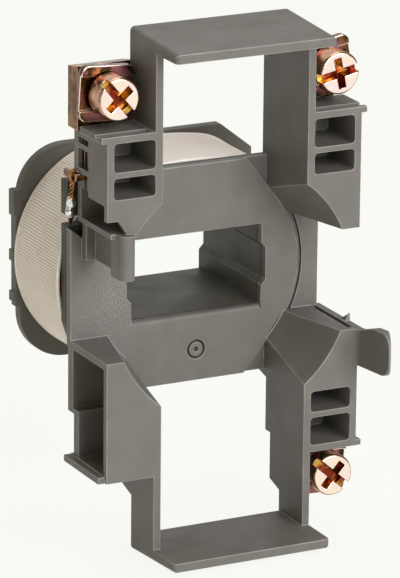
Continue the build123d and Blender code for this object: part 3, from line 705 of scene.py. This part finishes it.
def woven_tape():
    low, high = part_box("outer_tape")
    around = math.pi * (high.x - low.x + high.z - low.z) / 2
    points = round(around / RIB_PITCH / 2) * 2 * POINTS_PER_RIB
    front, back = low.y + TAPE_INSET, high.y - TAPE_INSET
    edge = [row * MM for row in EDGE_ROWS]
    plain = back - front - 2 * sum(edge)
    rows = round(plain / ROW_STEP)
    steps = edge + [plain / rows] * rows + edge[::-1]
    bpy.ops.object.select_all(action="DESELECT")
    bpy.ops.mesh.primitive_circle_add(
        vertices=points, radius=high.x + 1 * MM, location=(0, front, 0), rotation=(math.pi / 2, 0, 0)
    )
    tape = bpy.context.object
    settle(tape)
    open_edit(tape)
    bpy.ops.mesh.select_mode(type="EDGE")
    bpy.ops.mesh.select_all(action="SELECT")
    for step in steps:
        bpy.ops.mesh.extrude_region_move(TRANSFORM_OT_translate={"value": (0, step, 0)})
    bpy.ops.mesh.select_all(action="SELECT")
    bpy.ops.mesh.normals_make_consistent(inside=False)
    close_edit()
    lift = tape.vertex_groups.new(name="lift")
    shares = []
    bead = sum(edge[:2])
    for vertex in tape.data.vertices:
        turn = math.atan2(vertex.co.z, vertex.co.x) / (2 * math.pi) * points
        number = round(turn) % points
        rib, phase = divmod(number, POINTS_PER_RIB)
        row = round((vertex.co.y - front) / ROW_STEP)
        inwards = min(vertex.co.y - front, back - vertex.co.y)
        if inwards < MERGE:
            share = 0.15
        elif inwards < bead + MERGE:
            share = BEAD_SHARE[phase]
        else:
            share = RIB_SHARE[phase] + (OVER_UNDER if (rib + row) % 2 and phase == 2 else 0)
        lift.add([vertex.index], share, "REPLACE")
        shares.append(share)
    # The same shares are kept as the rise attribute, which the yarn material reads to paint shade into the
    # valleys between the ribs.
    rise = tape.data.attributes.new("rise", "FLOAT", "POINT")
    rise.data.foreach_set("value", shares)
    lay = tape.modifiers.new("onto the winding", "SHRINKWRAP")
    lay.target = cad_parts["outer_tape"]
    lay.wrap_method = "PROJECT"
    lay.use_negative_direction = True
    lay.use_positive_direction = True
    weave = tape.modifiers.new("weave", "DISPLACE")
    weave.vertex_group = "lift"
    weave.mid_level = 0
    weave.strength = LIFT
    wall = tape.modifiers.new("wall", "SOLIDIFY")
    wall.thickness = TAPE_WALL
    wall.offset = -1
    apply_modifiers(tape)
    open_edit(tape, "DESELECT")
    close_edit()
    for vertex in tape.data.vertices:
        vertex.select = vertex.co.y < front + edge[0] / 2
    pick(tape)
    bpy.ops.object.mode_set(mode="EDIT")
    bpy.ops.transform.resize(value=(TUCK_SHARE, 1, TUCK_SHARE), center_override=(0, front, 0))
    bpy.ops.transform.translate(value=(0, -TUCK_FORWARD, 0))
    close_edit()
    pick(tape)
    bpy.ops.object.shade_smooth()
    finished(tape, "woven_tape", YARN, "frame", ("outer_tape",))
    return tape


tape = woven_tape()

# %% [markdown]
# The start of the winding comes out beside the left wing, and its strands are twisted together
# and climb to the terminal's tag, where the wire takes two turns. A round profile carried up a
# helix by the Screw modifier makes one strand. The three strands differ in where they start.

# %% Twisted lead
STRAND_RADIUS = 0.17 * MM
STRANDS = 3
TWIST_RADIUS = 0.25 * MM
LEAN_FORWARD = 1.2 * MM
TWIST_PITCH = 2.3 * MM
STRAND_POINTS = 10
WRAP_TURNS = (-0.72, -0.22)
WRAP_HALF_WIDTH = 0.62 * MM
WRAP_HALF_HEIGHT = 0.9 * MM
WRAP_LEAN = math.radians(9)


def twisted_lead():
    low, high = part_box("start_lead_wrap")
    solder_low, solder_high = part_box("solder_a1")
    foot = Vector(((low.x + high.x) / 2, (solder_low.y + solder_high.y) / 2, solder_high.z - 1.2 * MM))
    climb = high.z - 1.0 * MM - foot.z
    parts = []
    for number in range(STRANDS):
        start = 2 * math.pi * number / STRANDS
        bpy.ops.object.select_all(action="DESELECT")
        bpy.ops.mesh.primitive_circle_add(vertices=STRAND_POINTS, radius=STRAND_RADIUS, location=foot)
        strand = bpy.context.object
        open_edit(strand)
        bpy.ops.transform.translate(
            value=(TWIST_RADIUS * math.cos(start), TWIST_RADIUS * math.sin(start), 0)
        )
        close_edit()
        twist = strand.modifiers.new("twist", "SCREW")
        twist.axis = "Z"
        twist.angle = 2 * math.pi * climb / TWIST_PITCH
        twist.screw_offset = climb
        twist.steps = 40
        twist.render_steps = 40
        apply_modifiers(strand)
        open_edit(strand)
        bpy.ops.mesh.fill_holes(sides=STRAND_POINTS)
        bpy.ops.mesh.normals_make_consistent(inside=False)
        bpy.ops.mesh.select_all(action="SELECT")
        close_edit()
        settle(strand)
        open_edit(strand)
        bpy.ops.transform.rotate(
            value=-math.atan2(LEAN_FORWARD, climb), orient_axis="X", center_override=foot
        )
        close_edit()
        parts.append(strand)
    for shift in WRAP_TURNS:
        spot = (foot.x, shift * MM - LEAN_FORWARD, high.z - 1.0 * MM)
        bpy.ops.object.select_all(action="DESELECT")
        bpy.ops.mesh.primitive_torus_add(
            location=spot, rotation=(math.pi / 2, 0, 0), major_segments=40, minor_segments=STRAND_POINTS,
            major_radius=WRAP_HALF_HEIGHT, minor_radius=STRAND_RADIUS,
        )
        turn = bpy.context.object
        open_edit(turn)
        bpy.ops.transform.resize(
            value=(WRAP_HALF_WIDTH / WRAP_HALF_HEIGHT, 1, 1), center_override=spot
        )
        bpy.ops.transform.rotate(value=WRAP_LEAN, orient_axis="X", center_override=spot)
        close_edit()
        settle(turn)
        parts.append(turn)
    bpy.ops.object.select_all(action="DESELECT")
    for part in parts:
        part.select_set(True)
    bpy.context.view_layer.objects.active = parts[0]
    bpy.ops.object.join()
    bpy.ops.object.shade_smooth()
    finished(parts[0], "twisted_start_lead", COPPER, "frame", ("start_lead_wrap",))


twisted_lead()

# %% [markdown]
# Solder runs down the joint as it freezes, so it is a few drops melted into each other, narrow in
# the middle and pointed at the foot. The drops are spheres of several sizes, one voxel Remesh
# joins their skins, and Smooth draws them together.

# %% Solder on the start lead
DROPS = ((0.05, -0.1, 0.88, 0.6), (0.22, 0.05, 0.68, 0.8), (-0.1, 0.0, 0.46, 0.58),
         (-0.16, -0.12, 0.27, 0.7), (0.15, 0.0, 0.08, 0.42))
VOXEL = 0.1 * MM


def solder_joint():
    low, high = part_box("solder_a1")
    middle = (low + high) / 2
    drops = []
    for across, ahead, level, radius in DROPS:
        spot = (middle.x + across * MM, middle.y + ahead * MM, low.z + level * (high.z - low.z))
        bpy.ops.object.select_all(action="DESELECT")
        bpy.ops.mesh.primitive_uv_sphere_add(segments=20, ring_count=12, radius=radius * MM, location=spot)
        settle(bpy.context.object)
        drops.append(bpy.context.object)
    bpy.ops.object.select_all(action="DESELECT")
    for drop in drops:
        drop.select_set(True)
    bpy.context.view_layer.objects.active = drops[0]
    bpy.ops.object.join()
    joint = drops[0]
    melt = joint.modifiers.new("melt", "REMESH")
    melt.mode = "VOXEL"
    melt.voxel_size = VOXEL
    draw = joint.modifiers.new("surface tension", "SMOOTH")
    draw.factor = 0.5
    draw.iterations = 5
    apply_modifiers(joint)
    pick(joint)
    bpy.ops.object.shade_smooth()
    settle(joint)
    finished(joint, "solder_drops", SOLDER, "frame", ("solder_a1",))


solder_joint()

# %% Finishes of the CAD nodes that stay
STAYING = {
    "copper_winding": COPPER, "a2_link_strip": STRIP, "start_lead": ENAMEL, "finish_lead": ENAMEL,
    "solder_a2_lead": SOLDER, "solder_strip_upper": SOLDER, "solder_strip_lower": SOLDER,
}
for node, material in STAYING.items():
    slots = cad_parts[node].material_slots
    for index in range(len(slots)):
        slots[index].material = material

# %% [markdown]
# The stage is a pale sheet that turns up behind the object, as in a product photograph. It
# keeps the shadow, and camera and mirror rays see it almost white.

# %% Stage
FLOOR_SIZE = 3.0
SWEEP_BACK = 0.9


def stage_white():
    finish = Finish("stage_paper")
    finish.set(Base_Color=screen_colour(250, 250, 246), Roughness=0.9)
    rays = finish.nodes.new("ShaderNodeLightPath")
    either = finish.nodes.new("ShaderNodeMath")
    either.operation = "MAXIMUM"
    glassy = finish.nodes.new("ShaderNodeMath")
    glassy.operation = "MAXIMUM"
    finish.links.new(rays.outputs["Is Camera Ray"], either.inputs[0])
    finish.links.new(rays.outputs["Is Glossy Ray"], glassy.inputs[0])
    finish.links.new(rays.outputs["Is Transmission Ray"], glassy.inputs[1])
    finish.links.new(glassy.outputs[0], either.inputs[1])
    paper = finish.nodes.new("ShaderNodeEmission")
    paper.inputs["Color"].default_value = screen_colour(251, 252, 247)
    share = finish.nodes.new("ShaderNodeMath")
    share.operation = "MULTIPLY"
    share.inputs[1].default_value = 0.93
    blend = finish.nodes.new("ShaderNodeMixShader")
    output = finish.nodes["Material Output"]
    finish.links.new(either.outputs[0], share.inputs[0])
    finish.links.new(share.outputs[0], blend.inputs[0])
    finish.links.new(finish.shader.outputs[0], blend.inputs[1])
    finish.links.new(paper.outputs[0], blend.inputs[2])
    finish.links.new(blend.outputs[0], output.inputs["Surface"])
    return finish.material


low, high = cad_box
bpy.ops.object.select_all(action="DESELECT")
bpy.ops.mesh.primitive_plane_add(size=FLOOR_SIZE, location=(0, 0, low[2] - 0.05 * MM))
backdrop = bpy.context.object
backdrop.name = "backdrop"
open_edit(backdrop, "DESELECT")
bpy.ops.mesh.select_mode(type="EDGE")
close_edit()
for edge in backdrop.data.edges:
    ends = [backdrop.data.vertices[i].co.y for i in edge.vertices]
    edge.select = min(ends) > 0
pick(backdrop)
bpy.ops.object.mode_set(mode="EDIT")
bpy.ops.mesh.extrude_region_move(TRANSFORM_OT_translate={"value": (0, 0, FLOOR_SIZE)})
close_edit()
settle(backdrop)
backdrop.data.materials.append(stage_white())

# %% [markdown]
# The photograph has soft light from the front right and above: front faces are mid grey and
# the faces turned to the left are darker. One large area lamp gives that, a weaker one fills
# from the left, and the world adds an even base.

# %% Lights and world
def area_lamp(name, spot, target, size, power, colour=(1, 1, 1)):
    data = bpy.data.lights.new(name, "AREA")
    data.size = size
    data.energy = power
    data.color = colour
    lamp = bpy.data.objects.new(name, data)
    lamp.location = spot
    lamp.rotation_euler = (Vector(target) - Vector(spot)).to_track_quat("-Z", "Y").to_euler()
    bpy.context.scene.collection.objects.link(lamp)


WARM = (1.0, 0.93, 0.7)
area_lamp("key_lamp", (0.2, -0.85, 0.4), (0, 0, 0), 0.7, 9.4)
area_lamp("fill_lamp", (-0.8, -0.35, 0.2), (0, 0, 0), 0.6, 0.8, WARM)
area_lamp("top_lamp", (0.1, 0.15, 0.8), (0, 0, 0), 0.5, 2.6)
world = bpy.data.worlds.new("studio")
bpy.context.scene.world = world
world.use_nodes = True
world.node_tree.nodes["Background"].inputs["Color"].default_value = (*WARM, 1)
world.node_tree.nodes["Background"].inputs["Strength"].default_value = 0.18
bpy.context.scene.view_settings.view_transform = "Standard"

# %% [markdown]
# The camera was solved from the photograph: it stands to the left of the front and a little
# above, far away, so the perspective is slight.

# %% Camera
YAW = math.radians(26.9)
PITCH = math.radians(17.17)
ROLL = math.radians(0.56)
EYE = Vector((-331.02, -655.23, 225.54)) * MM
FOCAL_PIXELS = 4801.48
IMAGE_WIDTH, IMAGE_HEIGHT = 400, 578
PRINCIPAL_X, PRINCIPAL_Y = 204.43, 280.71
SENSOR = 36.0

ahead = Vector((math.sin(YAW) * math.cos(PITCH), math.cos(YAW) * math.cos(PITCH), -math.sin(PITCH)))
level_right = Vector((math.cos(YAW), -math.sin(YAW), 0))
level_up = level_right.cross(ahead)
right = level_right * math.cos(ROLL) + level_up * math.sin(ROLL)
up = level_up * math.cos(ROLL) - level_right * math.sin(ROLL)
lens = bpy.data.cameras.new("photo_camera")
lens.sensor_fit = "AUTO"
lens.sensor_width = SENSOR
lens.lens = FOCAL_PIXELS / IMAGE_HEIGHT * SENSOR
lens.shift_x = (IMAGE_WIDTH / 2 - PRINCIPAL_X) / IMAGE_HEIGHT
lens.shift_y = (PRINCIPAL_Y - IMAGE_HEIGHT / 2) / IMAGE_HEIGHT
lens.clip_start = 0.01
camera = bpy.data.objects.new("photo_camera", lens)
camera.matrix_world = Matrix((
    (right.x, up.x, -ahead.x, EYE.x),
    (right.y, up.y, -ahead.y, EYE.y),
    (right.z, up.z, -ahead.z, EYE.z),
    (0, 0, 0, 1),
))
bpy.context.scene.collection.objects.link(camera)
bpy.context.scene.camera = camera
